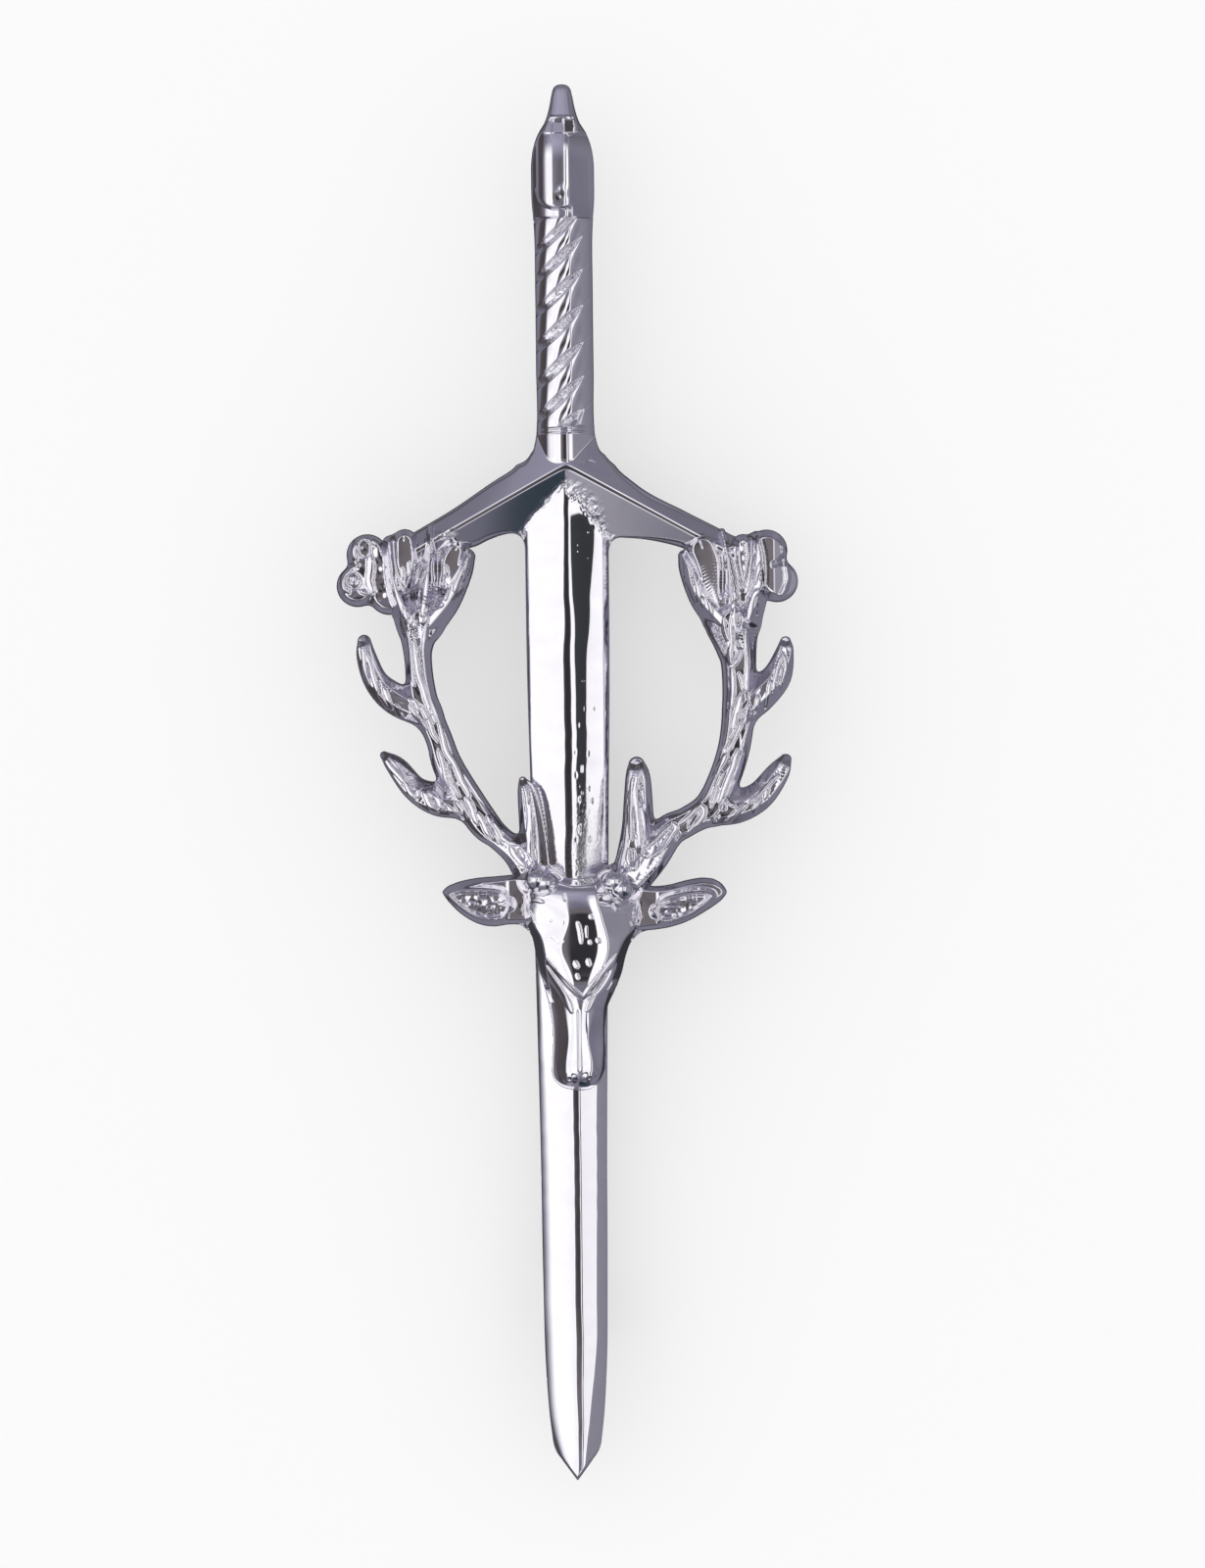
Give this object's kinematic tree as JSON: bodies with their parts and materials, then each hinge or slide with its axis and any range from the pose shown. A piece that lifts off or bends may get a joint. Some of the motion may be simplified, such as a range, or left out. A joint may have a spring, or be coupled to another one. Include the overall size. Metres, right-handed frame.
{
  "type": "kilt pin",
  "caption": "Kilt pin shaped as a sword with drooping guard arms and a stag's head with antlers over its blade, cast with a flat back, and a brooch pin behind it.",
  "frame": {"origin": "middle of the kilt pin seen from the front, on the plane that the feet of its brooch pin stand on", "axes": "+Z out of the front, away from the cloth; +Y along the sword towards the pommel; +X to the viewer's right"},
  "size_m": [0.0338, 0.1018, 0.0117],
  "materials": {
    "plated_casting": "bright chrome plate over a polished casting, with as-cast grain left in its corners and grooves",
    "pin_wire": "bright plated steel"
  },
  "bodies": {
    "root": {"sword_casting": "plated_casting", "brooch_pin": "pin_wire"}
  },
  "joints": []
}
